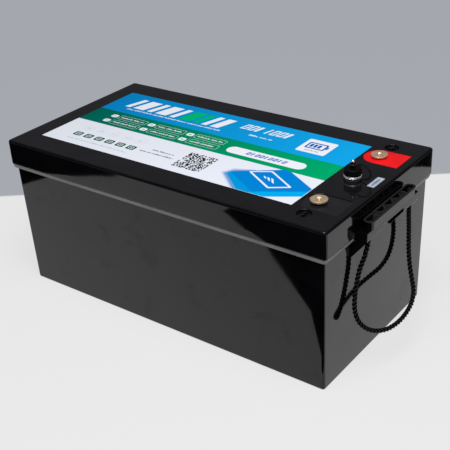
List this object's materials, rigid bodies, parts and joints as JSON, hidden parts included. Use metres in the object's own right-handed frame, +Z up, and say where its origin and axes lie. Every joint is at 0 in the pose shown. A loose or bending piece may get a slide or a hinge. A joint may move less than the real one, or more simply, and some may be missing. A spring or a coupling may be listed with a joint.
{
  "type": "battery pack",
  "caption": "Rectangular drop-in battery pack with an overhanging lid, screw terminals, a capped signal socket and a rope handle with a channel grip at each end.",
  "frame": {"origin": "centre of the footprint, on the floor", "axes": "+Z up, +X along the length towards the end with the terminals and the socket, -Y towards the front long side"},
  "size_m": [0.5948, 0.269, 0.2515],
  "materials": {
    "case_shell": "polished moulded, with fine hairline scratches",
    "lid_shell": "satin top, polished sides",
    "seal_rubber": "matt",
    "printed_film": "printed film, satin",
    "red_plastic": "satin",
    "black_plastic": "moulded, fine grain",
    "brass": "turned, lightly worn",
    "bright_steel": "polished plating",
    "cap_metal": "black plated, knurled",
    "rope": "twisted synthetic rope",
    "cell_can": "blue insulating film",
    "copper": "nickel-free copper bar",
    "foam": "closed-cell foam",
    "insulating_sheet": "glass-fibre sheet",
    "circuit_board": "solder mask",
    "heatsink": "extruded",
    "red_wire": "sleeved cable",
    "black_wire": "sleeved cable"
  },
  "bodies": {
    "case": {"container": "case_shell", "lid": "lid_shell", "lid_seal": "seal_rubber", "socket_gasket": "seal_rubber", "label": "printed_film", "sticker": "printed_film", "pos_patch": "red_plastic", "neg_patch": "black_plastic", "socket_insert": "black_plastic", "lanyard_tab": "black_plastic", "pos_terminal": "brass", "neg_terminal": "brass", "pos_nut": "bright_steel", "neg_nut": "bright_steel", "socket_body": "bright_steel", "socket_ring": "bright_steel", "rope_right": "rope", "rope_left": "rope", "cap_lanyard": "rope", "cell_01": "cell_can", "cell_02": "cell_can", "cell_03": "cell_can", "cell_04": "cell_can", "cell_05": "cell_can", "cell_06": "cell_can", "cell_07": "cell_can", "cell_08": "cell_can", "cell_09": "cell_can", "cell_10": "cell_can", "cell_11": "cell_can", "cell_12": "cell_can", "link_01": "copper", "link_02": "copper", "link_03": "copper", "link_04": "copper", "link_05": "copper", "link_06": "copper", "link_07": "copper", "link_08": "copper", "link_09": "copper", "link_10": "copper", "link_11": "copper", "base_pad": "foam", "cell_cover": "insulating_sheet", "bms_board": "circuit_board", "bms_heatsink": "heatsink", "pos_lead": "red_wire", "cell_neg_lead": "black_wire", "out_neg_lead": "black_wire", "signal_lead": "black_wire"},
    "grip_right": {"grip_right": "black_plastic", "knot_right_1": "rope", "knot_right_2": "rope"},
    "grip_left": {"grip_left": "black_plastic", "knot_left_1": "rope", "knot_left_2": "rope"},
    "lanyard_eye": {"lanyard_eye": "black_plastic"},
    "dust_cap": {"cap_shell": "cap_metal", "cap_post": "black_plastic", "cap_screw": "bright_steel"}
  },
  "joints": [
    {"name": "right_grip_lift", "type": "slide", "parent": "case", "child": "grip_right", "axis": [0, 0, 1], "range_m": [0, 0.125], "deforming": ["rope_right"]},
    {"name": "left_grip_lift", "type": "slide", "parent": "case", "child": "grip_left", "axis": [0, 0, 1], "range_m": [0, 0.125], "deforming": ["rope_left"]},
    {"name": "cap_lift", "type": "slide", "parent": "case", "child": "lanyard_eye", "axis": [0, 0, 1], "range_m": [0, 0.005], "deforming": ["cap_lanyard"]},
    {"name": "cap_turn", "type": "hinge", "parent": "lanyard_eye", "child": "dust_cap", "pos_m": [0.2175, 0, 0.2355], "axis": [0, 0, 1], "range_deg": [0, 1800]}
  ],
  "couplings": [
    {"joint": "cap_turn", "follows": "cap_lift", "rad_per_m": 6283.2}
  ]
}
